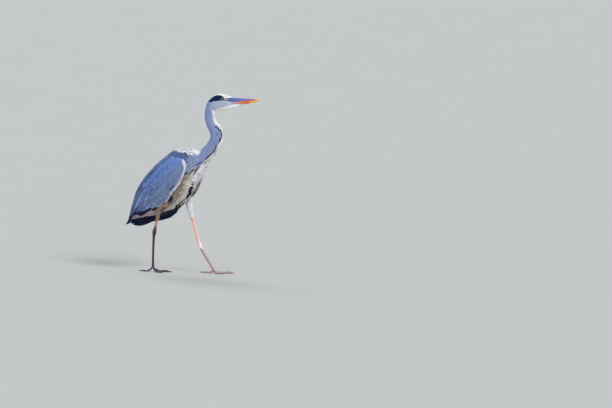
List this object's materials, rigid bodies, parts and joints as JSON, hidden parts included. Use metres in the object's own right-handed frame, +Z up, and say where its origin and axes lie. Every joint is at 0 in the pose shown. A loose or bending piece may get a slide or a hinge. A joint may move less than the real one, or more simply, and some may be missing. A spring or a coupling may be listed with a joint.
{
  "type": "grey heron",
  "caption": "Life-size still model of a grey heron wading in mid stride, neck half raised, wings folded, standing on its long toes.",
  "frame": {"origin": "on the floor, under the middle of the bird's bounding box", "axes": "+X is the way the bird walks and its bill points, +Y its left side, +Z up"},
  "size_m": [0.6084, 0.1658, 0.7916],
  "materials": {
    "plumage": "matt feathers, lilac grey with white face, belly and foreneck and black stripes",
    "plumes": "matt long white feathers with dark streaks",
    "wing_coverts": "matt blue-grey feathers with a whitish leading edge",
    "quills": "matt black and slate flight feathers",
    "bill_upper": "satin horn, slate violet turning orange at the tip",
    "bill_lower": "satin horn, coral at the base turning orange yellow",
    "eye": "glossy, yellow iris round a black pupil",
    "leg_skin": "scaly skin, brown with a coral upper part",
    "claw": "satin dark horn"
  },
  "bodies": {
    "root": {"trunk": "plumage", "neck_lower": "plumage", "neck_middle": "plumage", "neck_upper": "plumage", "head": "plumage", "thigh_right": "plumage", "thigh_left": "plumage", "breast_plumes": "plumes", "wing_right": "wing_coverts", "wing_left": "wing_coverts", "wing_right_tip": "quills", "wing_left_tip": "quills", "tail": "quills", "bill_upper": "bill_upper", "bill_lower": "bill_lower", "eye_left": "eye", "eye_right": "eye", "shin_right": "leg_skin", "tarsus_right": "leg_skin", "toe_right_middle": "leg_skin", "claw_right_middle": "claw", "toe_right_inner": "leg_skin", "claw_right_inner": "claw", "toe_right_outer": "leg_skin", "claw_right_outer": "claw", "toe_right_hind": "leg_skin", "claw_right_hind": "claw", "shin_left": "leg_skin", "tarsus_left": "leg_skin", "toe_left_middle": "leg_skin", "claw_left_middle": "claw", "toe_left_inner": "leg_skin", "claw_left_inner": "claw", "toe_left_outer": "leg_skin", "claw_left_outer": "claw", "toe_left_hind": "leg_skin", "claw_left_hind": "claw"}
  },
  "joints": []
}
